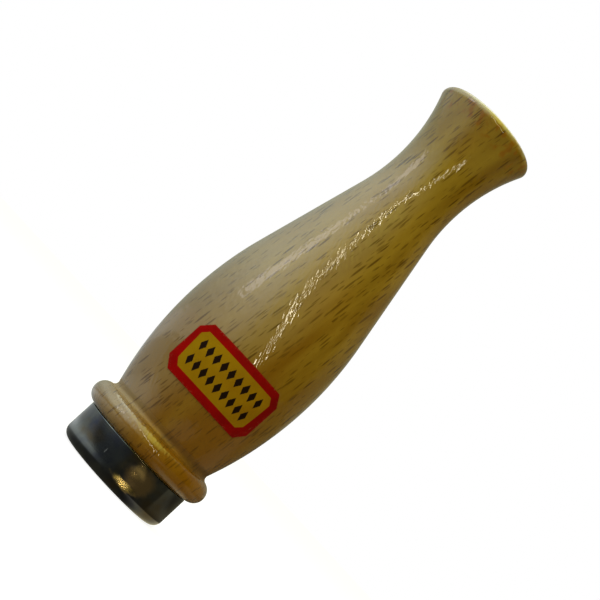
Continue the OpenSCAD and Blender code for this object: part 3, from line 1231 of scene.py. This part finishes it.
@dataclass
class Barrel:
    """The turned barrel and its label."""

    bulb_up: float = 28.2 * MM
    bulb_arc: float = 72.3 * MM
    bead_r: float = 14.9 * MM
    bead_round: float = 2.47 * MM
    cove_round: float = 0.95 * MM
    neck_r: float = 8.2 * MM
    neck_z: float = 82.6 * MM
    flare_l: float = 17.4 * MM
    rim_r: float = 11.4 * MM
    rim_round: float = 1.3 * MM
    crown_h: float = 0.4 * MM
    socket_l: float = 14 * MM
    chamber_r: float = 8 * MM
    chamber_l: float = 36 * MM
    drill_angle: float = math.radians(118)
    bore_r: float = 3.5 * MM
    bore_ease: float = 0.9 * MM
    socket_r: float = 9 * MM
    edge: float = 0.15 * MM
    label: LabelSizes = field(default_factory=LabelSizes)

    def __post_init__(self) -> None:
        """Works out the points where the arcs of the turned outline touch."""
        low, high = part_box("barrel")
        self.foot_z = low.z
        self.bulb_r = high.x
        self.mouth_z = self.neck_z + self.flare_l
        self.bead_mid = flat(self.bead_r - self.bead_round, self.foot_z + self.bead_round)
        self.bulb_mid = flat(self.bulb_r - self.bulb_arc, self.foot_z + self.bulb_up)
        self.cove_mid = self.touching(
            self.bead_mid, self.bead_round, self.bulb_mid, self.bulb_arc, self.cove_round,
        )
        self.rim_mid = flat(self.rim_r - self.rim_round, self.mouth_z - self.crown_h - self.rim_round)
        out, up = self.rim_mid - flat(self.neck_r, self.neck_z)
        self.neck_arc = (up**2 + out**2 - self.rim_round**2) / (2 * (self.rim_round + out))
        self.neck_mid = flat(self.neck_r + self.neck_arc, self.neck_z)
        rise = self.crown_h + self.rim_round
        self.crown_arc = (self.rim_mid.x**2 + rise**2 - self.rim_round**2) / (2 * self.crown_h)
        self.crown_mid = flat(0.0, self.mouth_z - self.crown_arc)
        ease_r = self.bore_r + self.bore_ease
        ease_top = self.crown_mid.y + math.sqrt(self.crown_arc**2 - ease_r**2)
        self.ease_mid = flat(ease_r, ease_top - self.bore_ease)
        self.label_z = (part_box("label")[0].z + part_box("label")[1].z) / 2

    @staticmethod
    def touching(first: Vector, first_r: float, second: Vector, second_r: float, r: float) -> Vector:
        """The middle of a circle that touches two others from outside, on their right.

        Args:
            first: The first circle's middle.
            first_r: Its radius.
            second: The second circle's middle.
            second_r: Its radius.
            r: The touching circle's own radius.

        Returns:
            The touching circle's middle.
        """
        between = second - first
        along = (between.length_squared + (first_r + r) ** 2 - (second_r + r) ** 2) / (2 * between.length)
        aside = math.sqrt((first_r + r) ** 2 - along**2)
        way = between.normalized()
        return first + along * way + aside * flat(way.y, -way.x)

    @staticmethod
    def towards(mid: Vector, r: float, other: Vector) -> Vector:
        """The point of a circle that lies towards another point."""
        return mid + r * (other - mid).normalized()

    def taper(self) -> tuple[Vector, Vector]:
        """Finds the straight taper that touches the bulb and the neck.

        Returns:
            Its lower and its upper end.
        """
        between = self.neck_mid - self.bulb_mid
        angle = math.atan2(between.y, between.x) - math.acos((self.bulb_arc + self.neck_arc) / between.length)
        normal = flat(math.cos(angle), math.sin(angle))
        return self.bulb_mid + self.bulb_arc * normal, self.neck_mid - self.neck_arc * normal

    def wood(self) -> Mesh:
        """Turns the barrel, with its socket, chamber and mouth bore.

        Returns:
            The barrel's mesh.
        """
        taper_low, taper_high = self.taper()
        socket_end = self.foot_z + self.socket_l
        chamber_end = socket_end + self.chamber_l
        point_end = chamber_end + (self.chamber_r - self.bore_r) / math.tan(self.drill_angle / 2)
        outline = Outline(flat(self.socket_r, self.foot_z))
        outline.line_to(flat(self.bead_mid.x, self.foot_z), parts=2)
        outline.arc_to(self.bead_mid, self.towards(self.bead_mid, self.bead_round, self.cove_mid), parts=30)
        outline.arc_to(self.cove_mid, self.towards(self.bulb_mid, self.bulb_arc, self.cove_mid), parts=12)
        outline.arc_to(self.bulb_mid, taper_low, parts=48)
        outline.line_to(taper_high, parts=16)
        outline.arc_to(self.neck_mid, self.towards(self.neck_mid, self.neck_arc, self.rim_mid), parts=40)
        outline.arc_to(self.rim_mid, self.towards(self.crown_mid, self.crown_arc, self.rim_mid), parts=14)
        outline.arc_to(self.crown_mid, self.ease_mid + flat(0.0, self.bore_ease), parts=8)
        outline.arc_to(self.ease_mid, flat(self.bore_r, self.ease_mid.y), parts=8)
        outline.line_to(flat(self.bore_r, point_end), parts=8)
        outline.line_to(flat(self.chamber_r, chamber_end), parts=2)
        outline.line_to(flat(self.chamber_r, socket_end), parts=6)
        outline.line_to(flat(self.socket_r, socket_end))
        return eased(outline.turned(), self.edge)

    def sticker(self) -> Mesh:
        """Sweeps a strip of the bulb's surface, cuts it to the label's outline and thickens it.

        Returns:
            The label's mesh.
        """
        label = self.label
        skin = self.bulb_arc + label.lift
        ends = []
        for side in (-1, 1):
            rise = self.label_z + side * (label.half_h + label.margin) - self.bulb_mid.y
            ends.append(self.bulb_mid + flat(math.sqrt(skin**2 - rise**2), rise))
        strip = Outline(ends[0]).arc_to(self.bulb_mid, ends[1], parts=36)
        sweep = (label.width + 2 * label.margin) / self.bulb_r
        facing = label.turn - math.pi / 2
        sheet = strip.swept(facing - sweep / 2, sweep, steps=72)
        self.cut_outline(sheet, Matrix.Rotation(label.turn, 3, "Z"))
        bmesh.ops.recalc_face_normals(sheet, faces=sheet.faces)
        outward = sheet.faces[:][0]
        if outward.normal.dot(outward.calc_center_median() * Vector((1, 1, 0))) < 0:
            bmesh.ops.reverse_faces(sheet, faces=sheet.faces)
        bmesh.ops.solidify(sheet, geom=sheet.faces, thickness=-label.thick)
        self.map_flat(sheet)
        return sheet

    def cut_outline(self, sheet: Mesh, turn: Matrix) -> None:
        """Cuts the sides and corners of the label's strip.

        Args:
            sheet: The strip's mesh, which is changed in place.
            turn: The turn of the label's middle about the axis.
        """
        label = self.label
        side = self.bulb_r * math.sin(label.half_w / self.bulb_r)
        side_cut = self.bulb_r * math.sin((label.half_w - label.cut) / self.bulb_r)
        level = Vector((0.0, 0.0, self.label_z))
        for x in (-1, 1):
            for z in (-1, 1):
                slant = Vector((x * label.cut, 0.0, z * (side - side_cut))).normalized()
                cuts = (
                    (Vector((x * side, 0.0, 0.0)), Vector((x, 0.0, 0.0))),
                    (Vector((0.0, 0.0, z * label.half_h)), Vector((0.0, 0.0, z))),
                    (Vector((x * side, 0.0, z * (label.half_h - label.cut))), slant),
                )
                for place, normal in cuts:
                    bmesh.ops.bisect_plane(
                        sheet, geom=[*sheet.verts, *sheet.edges, *sheet.faces], dist=MERGE,
                        plane_co=turn @ place + level, plane_no=turn @ normal, clear_outer=True,
                    )

    def map_flat(self, sheet: Mesh) -> None:
        """Unrolls the label onto its own map, with its width and height both from 0 to 1.

        Args:
            sheet: The label's mesh, which gets the map.
        """
        layer = sheet.loops.layers.uv.new(PrintedLabel.flat_map)
        middle_u, middle_v, _ = PrintedLabel.map_middle
        for face in sheet.faces:
            for loop in face.loops:
                place = loop.vert.co
                azimuth = math.atan2(place.x, -place.y) - self.label.turn
                across = azimuth * self.bulb_r / self.label.width + middle_u
                loop[layer].uv = (across, (place.z - self.label_z) / self.label.height + middle_v)

    def build(self, patterns: Patterns) -> None:
        """Builds and dresses the barrel and its label.

        Args:
            patterns: The shared node groups.
        """
        wood = LacqueredBeech().make(patterns, self)
        Seat("barrel", Body.BARREL, Slot.BEECH).fit(self.wood(), "turned_barrel", wood)
        print_finish = PrintedLabel().make(patterns, self.label)
        Seat("label", Body.BARREL, Slot.LABEL).fit(self.sticker(), "paper_label", print_finish)


@dataclass
class Insert:
    """The metal cap, the turned plug in it and the cork round the plug's tenon."""

    cap_wall: float = 0.6 * MM
    cap_round: float = 1.9 * MM
    hole_r: float = 5 * MM
    glue: float = 0.02 * MM
    shoulder_z: float = 8 * MM
    outlet_z: float = 5.4 * MM
    sound_bore_r: float = 2.8 * MM
    reed_bore_r: float = 3.5 * MM
    reed_seat: float = 9.6 * MM
    tenon_r: float = 8.75 * MM
    tenon_chamfer: float = 0.7 * MM
    cork_t: float = 1.5 * MM
    metal_edge: float = 0.14 * MM
    edge_row: float = 0.2 * MM
    wood_edge: float = 0.12 * MM
    cork_edge: float = 0.25 * MM
    plug_wood: BareWood = BareWood(
        "plug_wood", pale=(0.44, 0.29, 0.13), deep=(0.34, 0.20, 0.08), fleck=(0.16, 0.07, 0.02),
        tool_marks=0.8,
    )

    def __post_init__(self) -> None:
        """Reads the outer sizes from the solids."""
        self.cap_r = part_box("end_cap")[1].x
        self.cap_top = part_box("end_cap")[1].z
        self.tenon_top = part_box("insert_plug")[1].z
        cork_low, cork_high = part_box("cork_sleeve")
        self.cork_r = cork_high.x
        self.cork_low = cork_low.z
        self.cork_high = cork_high.z

    def cap(self) -> Mesh:
        """Draws the cap, pierced by the sound hole.

        Returns:
            The cap's mesh.
        """
        inner_r = self.cap_r - self.cap_wall
        mid = flat(self.cap_r - self.cap_round, self.cap_round)
        outline = Outline(flat(self.hole_r, 0.0))
        outline.line_to(flat(mid.x, 0.0), parts=4)
        outline.arc_to(mid, flat(self.cap_r, mid.y), parts=20)
        outline.line_to(flat(self.cap_r, self.cap_top - self.edge_row), parts=6)
        outline.line_to(flat(self.cap_r, self.cap_top))
        outline.line_to(flat(inner_r, self.cap_top))
        outline.line_to(flat(inner_r, mid.y), parts=4)
        outline.arc_to(mid, flat(mid.x, self.cap_wall), parts=12)
        outline.line_to(flat(self.hole_r, self.cap_wall), parts=4)
        return eased(outline.turned(), self.metal_edge)

    def plug(self) -> Mesh:
        """Turns the plug: a head for the cap, a shoulder, and a tenon with a groove for the cork.

        Returns:
            The plug's mesh.
        """
        head_r = self.cap_r - self.cap_wall - self.glue
        head_low = self.cap_wall + self.glue
        mid = flat(self.cap_r - self.cap_round, self.cap_round)
        groove_r = self.cork_r - self.cork_t - self.glue
        outline = Outline(flat(self.hole_r, head_low))
        outline.line_to(flat(mid.x, head_low), parts=2)
        outline.arc_to(mid, flat(head_r, mid.y), parts=8)
        outline.line_to(flat(head_r, self.shoulder_z), parts=3)
        outline.line_to(flat(self.tenon_r, self.shoulder_z), parts=2)
        outline.line_to(flat(self.tenon_r, self.cork_low))
        outline.line_to(flat(groove_r, self.cork_low))
        outline.line_to(flat(groove_r, self.cork_high), parts=4)
        outline.line_to(flat(self.tenon_r, self.cork_high))
        outline.line_to(flat(self.tenon_r, self.tenon_top - self.tenon_chamfer), parts=2)
        outline.line_to(flat(self.tenon_r - self.tenon_chamfer, self.tenon_top))
        outline.line_to(flat(self.reed_bore_r, self.tenon_top), parts=2)
        outline.line_to(flat(self.reed_bore_r, self.reed_seat), parts=4)
        outline.line_to(flat(self.sound_bore_r, self.reed_seat))
        outline.line_to(flat(self.sound_bore_r, self.outlet_z), parts=3)
        outline.line_to(flat(self.hole_r, self.outlet_z))
        return eased(outline.turned(), self.wood_edge, segments=2)

    def cork(self) -> Mesh:
        """Rolls the cork sleeve.

        Returns:
            The sleeve's mesh.
        """
        inner_r = self.cork_r - self.cork_t
        outline = Outline(flat(inner_r, self.cork_low))
        outline.line_to(flat(self.cork_r, self.cork_low))
        outline.line_to(flat(self.cork_r, self.cork_high), parts=8)
        outline.line_to(flat(inner_r, self.cork_high))
        return eased(outline.turned(), self.cork_edge, segments=4)

    def build(self, patterns: Patterns) -> None:
        """Builds and dresses the cap, the plug and the cork.

        Args:
            patterns: The shared node groups.
        """
        plate = AgedPlate().make(patterns, self.cap_r)
        Seat("end_cap", Body.INSERT, Slot.CAP).fit(self.cap(), "drawn_cap", plate)
        plug_wood = self.plug_wood.make(patterns)
        Seat("insert_plug", Body.INSERT, Slot.PLUG).fit(self.plug(), "turned_plug", plug_wood)
        cork = SheetCork().make(patterns)
        Seat("cork_sleeve", Body.INSERT, Slot.CORK).fit(self.cork(), "cork_ring", cork)


@dataclass
class Reed:
    """The brass trough, the strip that beats on it and the wedge that clamps both."""

    trough_wall: float = 0.7 * MM
    tongue_w: float = 6.4 * MM
    tongue_t: float = 0.2 * MM
    tongue_set: float = math.radians(2.4)
    bend_gap: float = 0.05 * MM
    brass_edge: float = 0.06 * MM
    tongue_edge: float = 0.03 * MM
    wedge_edge: float = 0.15 * MM
    drawn: Brass = Brass("drawn_brass", clean=(0.62, 0.43, 0.16), tarnished=(0.34, 0.20, 0.07), gloss=0.22)
    rolled: Brass = Brass("rolled_brass", clean=(0.72, 0.53, 0.22), tarnished=(0.48, 0.30, 0.10), gloss=0.16)
    wedge_wood: BareWood = BareWood(
        "wedge_wood", pale=(0.22, 0.11, 0.045), deep=(0.15, 0.07, 0.028), fleck=(0.06, 0.025, 0.01),
        tool_marks=0.1,
    )

    def __post_init__(self) -> None:
        """Reads the outer sizes from the solids."""
        low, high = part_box("reed_trough")
        self.seat_z = low.z
        self.trough_r = high.x
        self.spoon_z = high.z - self.trough_r
        self.bend_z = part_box("reed_wedge")[1].z

    def trough(self) -> Mesh:
        """Turns the half-round trough, with its spoon tip.

        Returns:
            The trough's mesh.
        """
        inner_r = self.trough_r - self.trough_wall
        tip = flat(0.0, self.spoon_z)
        outline = Outline(flat(self.trough_r, self.seat_z))
        outline.line_to(flat(self.trough_r, self.spoon_z), parts=10)
        outline.arc_to(tip, flat(0.0, self.spoon_z + self.trough_r), parts=16)
        outline.line_to(flat(0.0, self.spoon_z + inner_r))
        outline.arc_to(tip, flat(inner_r, self.spoon_z), parts=16)
        outline.line_to(flat(inner_r, self.seat_z), parts=10)
        return eased(outline.half_turned(SIDES // 4), self.brass_edge, segments=2)

    def strip(self, low: float, high: float) -> Outline:
        """A plain stretch of the strip's outline, from its lower left corner to its upper right one."""
        half = self.tongue_w / 2
        return Outline(flat(-half, low)).line_to(flat(half, low)).line_to(flat(half, high), parts=8)

    def pressed(self, outline: Outline) -> Mesh:
        """A plate of the strip's thickness, from its outline."""
        return eased(outline.plate(Vector((0.0, -self.tongue_t, 0.0))), self.tongue_edge, segments=1)

    def root(self) -> Mesh:
        """The mesh of the strip's clamped end."""
        outline = self.strip(self.seat_z, self.bend_z).line_to(flat(-self.tongue_w / 2, self.bend_z))
        return self.pressed(outline)

    def tongue(self) -> Mesh:
        """Cuts the free end of the strip, with a round tip, and sets it off the trough at the bending line.

        Returns:
            The tongue's mesh.
        """
        tip = flat(0.0, self.spoon_z)
        outline = self.strip(self.bend_z + self.bend_gap, self.spoon_z)
        outline.arc_to(tip, flat(0.0, self.spoon_z + self.tongue_w / 2), parts=16)
        outline.arc_to(tip, flat(-self.tongue_w / 2, self.spoon_z), parts=16)
        mesh = self.pressed(outline)
        turn = Matrix.Rotation(self.tongue_set, 3, "X")
        bmesh.ops.rotate(mesh, verts=mesh.verts, cent=(0.0, 0.0, self.bend_z), matrix=turn)
        return mesh

    def wedge(self) -> Mesh:
        """Draws the half-round wedge's end face and pushes it up the axis.

        Returns:
            The wedge's mesh.
        """
        half = math.sqrt(self.trough_r**2 - self.tongue_t**2)
        mid = flat(0.0, 0.0)
        outline = Outline(flat(-half, -self.tongue_t))
        outline.arc_to(mid, flat(0.0, -self.trough_r), parts=20)
        outline.arc_to(mid, flat(half, -self.tongue_t), parts=20)
        mesh = outline.plate(Vector((0.0, self.seat_z - self.bend_z, 0.0)))
        upright = Matrix.Rotation(-math.pi / 2, 3, "X")
        bmesh.ops.rotate(mesh, verts=mesh.verts, cent=ORIGIN, matrix=upright)
        bmesh.ops.translate(mesh, verts=mesh.verts, vec=(0.0, 0.0, self.seat_z))
        return eased(mended(mesh), self.wedge_edge, segments=2)

    def build(self, patterns: Patterns) -> None:
        """Builds and dresses the trough, the strip's two stretches and the wedge.

        Args:
            patterns: The shared node groups.
        """
        drawn = self.drawn.make(patterns)
        rolled = self.rolled.make(patterns)
        wedge_wood = self.wedge_wood.make(patterns)
        Seat("reed_trough", Body.INSERT, Slot.BRASS).fit(self.trough(), "brass_trough", drawn)
        Seat("reed_wedge", Body.INSERT, Slot.WEDGE).fit(self.wedge(), "clamping_wedge", wedge_wood)
        Seat("tongue_root", Body.INSERT, Slot.TONGUE).fit(self.root(), "strip_root", rolled)
        Seat("reed_tongue", Body.TONGUE, Slot.TONGUE).fit(self.tongue(), "strip_tongue", rolled)


# Studio


@dataclass(frozen=True)
class Camera:
    """The camera, in front of the call and rolled so that the upright call leans across the picture."""

    focal_mm: float = 84.0
    distance: float = 0.267
    eye_x: float = -0.000375
    eye_z: float = 0.023
    tilt: float = math.atan(0.1)
    roll: float = math.radians(47.342)
    nearest: float = 0.01
    farthest: float = 20.0

    def stand(self) -> None:
        """Sets up the camera."""
        forward = Vector((0.0, math.cos(self.tilt), math.sin(self.tilt)))
        level_up = Vector((0.0, -math.sin(self.tilt), math.cos(self.tilt)))
        level_right = Vector((1.0, 0.0, 0.0))
        right = math.cos(self.roll) * level_right + math.sin(self.roll) * level_up
        up = math.cos(self.roll) * level_up - math.sin(self.roll) * level_right
        data = bpy.data.cameras.new("camera")
        data.lens = self.focal_mm
        data.clip_start = self.nearest
        data.clip_end = self.farthest
        eye = bpy.data.objects.new("camera", data)
        turn = Matrix((right, up, -forward)).transposed().to_4x4()
        eye.matrix_world = Matrix.Translation((self.eye_x, -self.distance, self.eye_z)) @ turn
        bpy.context.scene.collection.objects.link(eye)
        bpy.context.scene.camera = eye


@dataclass(frozen=True)
class Lamp:
    """A flat lamp that faces the call. It is never seen itself, and in reflections only if it is mirrored."""

    name: str
    foot: Triple
    head: Triple
    width: float
    radiance: float
    colour: Colour
    mirrored: bool = False

    def hang(self, target: Vector) -> None:
        """Adds the lamp.

        Args:
            target: The point that it faces.
        """
        foot, head = Vector(self.foot), Vector(self.head)
        middle = (foot + head) / 2
        long_way = (head - foot).normalized()
        away = middle - target
        back = (away - away.dot(long_way) * long_way).normalized()
        data = bpy.data.lights.new(self.name, "AREA")
        data.shape = "RECTANGLE"
        data.size = self.width
        data.size_y = (head - foot).length
        data.energy = self.radiance * math.pi * data.size * data.size_y
        data.color = self.colour
        lamp = bpy.data.objects.new(self.name, data)
        turn = Matrix((long_way.cross(back), long_way, back)).transposed().to_4x4()
        lamp.matrix_world = Matrix.Translation(middle) @ turn
        lamp.visible_camera = False
        lamp.visible_glossy = self.mirrored
        bpy.context.scene.collection.objects.link(lamp)


# A slanting strip by the camera, a pane and a window to the left, and three soft lights round the call
LAMPS = (
    Lamp("strip", (0.25, -0.60, 0.02), (-0.24, -0.60, 0.55), 0.012, 27.0, (1.0, 0.90, 0.66), True),
    Lamp("pane", (-0.55, -0.24, 0.16), (-0.55, -0.24, 0.42), 0.12, 2.3, (1.0, 0.90, 1.0), True),
    Lamp("window", (-0.50, -0.20, 0.18), (-0.50, -0.28, 0.60), 0.16, 3.0, (0.90, 0.93, 1.0)),
    Lamp("front", (0.05, -0.50, 0.70), (0.40, -0.50, 0.70), 0.30, 1.8, WHITE),
    Lamp("overhead", (-0.25, -0.15, 0.80), (0.25, 0.05, 0.80), 0.40, 2.6, WHITE),
    Lamp("back_fill", (0.25, 0.70, 0.10), (0.25, 0.70, 0.70), 0.60, 0.7, WHITE),
)


@dataclass(frozen=True)
class Surround:
    """The light from all round: white to the camera, even on the call and graded in reflections.

    The spans are of a direction's X, Y or Z, and give levels of light.
    """

    fill: float = 0.49
    # The bright left side, by X, which is dimmer low down and behind the call
    left: Span = Span(0.15, -0.95, 0.0, 2.8)
    left_rise: Span = Span(-0.05, 0.40, 0.36, 1.0)
    left_behind: Span = Span(-0.1, 0.8, 1.0, 0.4)
    # What is there at least, which goes dark to the right, and a faint light at the right from behind
    least: Span = Span(0.75, 0.38, 0.02, 0.24)
    right: Span = Span(0.4, 0.6, 0.0, 0.15)
    right_behind: Span = Span(0.0, 0.35)
    # The bright top, by Z and by X
    top_rise: Span = Span(0.45, 0.85)
    top: Span = Span(0.55, 0.0, 0.0, 4.0)
    # Tints in front, behind and to the left
    amber: Colour = (1.0, 0.98, 0.15)
    straw: Colour = (1.0, 1.0, 0.70)
    sky: Colour = (0.84, 1.0, 0.94)
    to_straw: Span = Span(0.0, 0.3)
    to_sky: Span = Span(0.1, -0.7)

    def hang(self) -> None:
        """Makes it the scene's world."""
        world = bpy.data.worlds.new("surround")
        world.use_nodes = True
        bpy.context.scene.world = world
        sheet = Sheet(world.node_tree)
        sheet.tree.nodes.clear()
        across, deep, up = sheet.split(sheet.add("ShaderNodeTexCoord").outputs["Generated"])
        dimmed = sheet.times(sheet.share(up, self.left_rise), sheet.share(deep, self.left_behind))
        left = sheet.times(sheet.share(across, self.left), dimmed)
        left = sheet.plus(left, sheet.share(across, self.least))
        above = sheet.times(sheet.share(up, self.top_rise), sheet.share(across, self.top))
        right = sheet.times(sheet.share(across, self.right), sheet.share(deep, self.right_behind))
        seen = sheet.greater(sheet.greater(left, right), above)
        path = sheet.add("ShaderNodeLightPath").outputs
        mirrored = sheet.mirrored(path)
        even = sheet.times(sheet.minus(1.0, mirrored), self.fill)
        level = sheet.scaled(seen, mirrored, even)
        warm = sheet.mix(sheet.share(deep, self.to_straw), self.amber, self.straw)
        tint = sheet.mix(sheet.share(across, self.to_sky), warm, self.sky)
        graded = sheet.add("ShaderNodeBackground", {"Color": tint, "Strength": level}).outputs[0]
        plain = sheet.add("ShaderNodeBackground", {"Color": WHITE, "Strength": 1.0}).outputs[0]
        mixed = sheet.add("ShaderNodeMixShader", {0: path["Is Camera Ray"], 1: graded, 2: plain})
        sheet.add("ShaderNodeOutputWorld", {"Surface": mixed.outputs[0]})


@dataclass(frozen=True)
class Floor:
    """A pale floor that shows white but keeps the call's shadow, and is graded in reflections.

    The spans are of a place's X, Y or distance from the call's axis, and give levels of light.
    """

    radius: float = 3.0
    drop: float = 0.1 * MM
    sides: int = 96
    # The floor's own grey, the white that the camera sees on top of it, and the least level in reflections
    card: Colour = (0.36, 0.36, 0.36)
    camera_share: float = 0.87
    dim: float = 0.100
    # The lit floor to the left, brighter near the call, behind a line that runs forwards to the right
    left: Span = Span(-8 * MM, -40 * MM)
    left_away: Span = Span(75 * MM, 45 * MM, 0.45, 0.92)
    line_slope: float = 0.25
    line: Span = Span(-50 * MM, -28 * MM)
    # The faintly lit floor to the right, beside the call
    right: Span = Span(18 * MM, 45 * MM, 0.0, 0.14)
    beside_front: Span = Span(-14 * MM, -6 * MM)
    beside_back: Span = Span(50 * MM, 20 * MM)
    # A glint in front, by its middle, its half sizes and its level
    glint_x: float = 14 * MM
    glint_y: float = -37 * MM
    glint_half_w: float = 18 * MM
    glint_half_l: float = 11 * MM
    glint: float = 0.28
    # The bright edge close to the cap, on its right
    edge: Span = Span(24 * MM, 17 * MM, 0.0, 0.5)
    edge_right: Span = Span(4 * MM, 10 * MM)
    # The far floor to the left, by X over the distance and by the distance
    far_left: Span = Span(-0.20, -0.95, 0.0, 1.0)
    far: Span = Span(100 * MM, 280 * MM)
    # Tints to the right and to the left
    straw: Colour = (1.0, 0.91, 0.58)
    sky: Colour = (0.93, 1.0, 0.97)
    to_sky: Span = Span(4 * MM, -20 * MM)

    def image(self, sheet: Sheet, across: Feed, deep: Feed) -> Socket:
        """The floor's level of light in reflections.

        Args:
            sheet: The material's nodes.
            across: The place's X.
            deep: Its Y.

        Returns:
            The level.
        """
        away = sheet.from_axis(across, deep)
        behind = sheet.share(sheet.scaled(across, self.line_slope, deep), self.line)
        left = sheet.times(sheet.share(across, self.left), sheet.share(away, self.left_away))
        left = sheet.times(left, behind)
        beside = sheet.times(sheet.share(deep, self.beside_front), sheet.share(deep, self.beside_back))
        right = sheet.times(sheet.share(across, self.right), beside)
        aside = sheet.minus(across, self.glint_x)
        glint = sheet.spot(aside, sheet.minus(deep, self.glint_y), self.glint_half_w, self.glint_half_l)
        edge = sheet.times(sheet.share(away, self.edge), sheet.share(across, self.edge_right))
        bands = sheet.scaled(glint, self.glint, sheet.plus(sheet.plus(left, right), edge))
        leftward = sheet.share(sheet.math("DIVIDE", across, away), self.far_left)
        far = sheet.times(leftward, sheet.share(away, self.far))
        return sheet.plus(sheet.greater(bands, far), self.dim)

    def finish(self) -> bpy.types.Material:
        """Builds the floor's material.

        Returns:
            The new material.
        """
        material = bpy.data.materials.new("pale_floor")
        material.use_nodes = True
        sheet = Sheet(material.node_tree)
        sheet.tree.nodes.clear()
        across, deep, _ = sheet.split(sheet.place())
        path = sheet.add("ShaderNodeLightPath").outputs
        card = sheet.add("ShaderNodeBsdfDiffuse", {"Color": self.card}).outputs[0]
        shown = sheet.times(path["Is Camera Ray"], self.camera_share)
        glow = sheet.add("ShaderNodeEmission", {"Color": WHITE, "Strength": shown}).outputs[0]
        direct = sheet.add("ShaderNodeAddShader", {0: card, 1: glow}).outputs[0]
        tint = sheet.mix(sheet.share(across, self.to_sky), self.straw, self.sky)
        level = self.image(sheet, across, deep)
        image = sheet.add("ShaderNodeEmission", {"Color": tint, "Strength": level}).outputs[0]
        both = sheet.add("ShaderNodeMixShader", {0: sheet.mirrored(path), 1: direct, 2: image})
        sheet.add("ShaderNodeOutputMaterial", {"Surface": both.outputs[0]})
        return material

    def lay(self) -> None:
        """Lays the floor under the call."""
        mesh = bmesh.new()
        bmesh.ops.create_circle(mesh, cap_ends=True, radius=self.radius, segments=self.sides)
        bmesh.ops.translate(mesh, verts=mesh.verts, vec=(0.0, 0.0, -self.drop))
        data = bpy.data.meshes.new("floor")
        mesh.to_mesh(data)
        mesh.free()
        data.materials.append(self.finish())
        floor = bpy.data.objects.new("floor", data)
        bpy.context.scene.collection.objects.link(floor)


@dataclass(frozen=True)
class Studio:
    """Everything that isn't the call."""

    camera: Camera = Camera()
    lamps: tuple[Lamp, ...] = LAMPS
    surround: Surround = Surround()
    floor: Floor = Floor()

    def build(self) -> None:
        """Sets up the camera, the lamps, the surround and the floor."""
        bpy.context.scene.view_settings.view_transform = "Standard"
        self.camera.stand()
        low, high = CAD_BOX
        for lamp in self.lamps:
            lamp.hang((low + high) / 2)
        self.surround.hang()
        self.floor.lay()


def main() -> None:
    """Builds the studio and the call, sub-assembly by sub-assembly."""
    logging.basicConfig(level=logging.INFO, format="%(name)s: %(message)s")
    Studio().build()
    patterns = Patterns()
    for assembly in (Barrel(), Insert(), Reed()):
        assembly.build(patterns)


if __name__ == "__main__":
    main()
